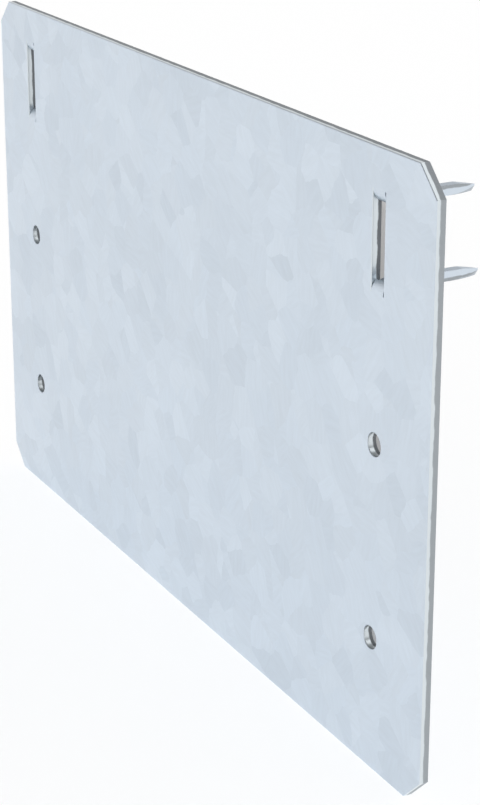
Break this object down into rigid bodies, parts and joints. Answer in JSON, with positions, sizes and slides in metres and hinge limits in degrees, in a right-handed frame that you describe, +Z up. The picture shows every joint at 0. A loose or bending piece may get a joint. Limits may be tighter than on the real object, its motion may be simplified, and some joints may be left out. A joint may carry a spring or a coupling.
{
  "type": "protection plate",
  "caption": "Flat galvanised steel plate with clipped corners, nail holes and bent-back prongs, fixed over framing to keep nails and screws out of pipes and cables behind it.",
  "frame": {"origin": "middle of the back face, which lies on the framing", "axes": "+X along the plate's width, to the right seen from the front; +Y out of the back face, the way the prongs point; +Z up, towards the edge with the prong slots"},
  "size_m": [0.2032, 0.0217, 0.127],
  "materials": {
    "galvanised_steel": "zinc-coated sheet steel, pale blue grey and satin, with a faint spangle and sheared edges"
  },
  "bodies": {
    "root": {"protection_plate": "galvanised_steel"}
  },
  "joints": []
}
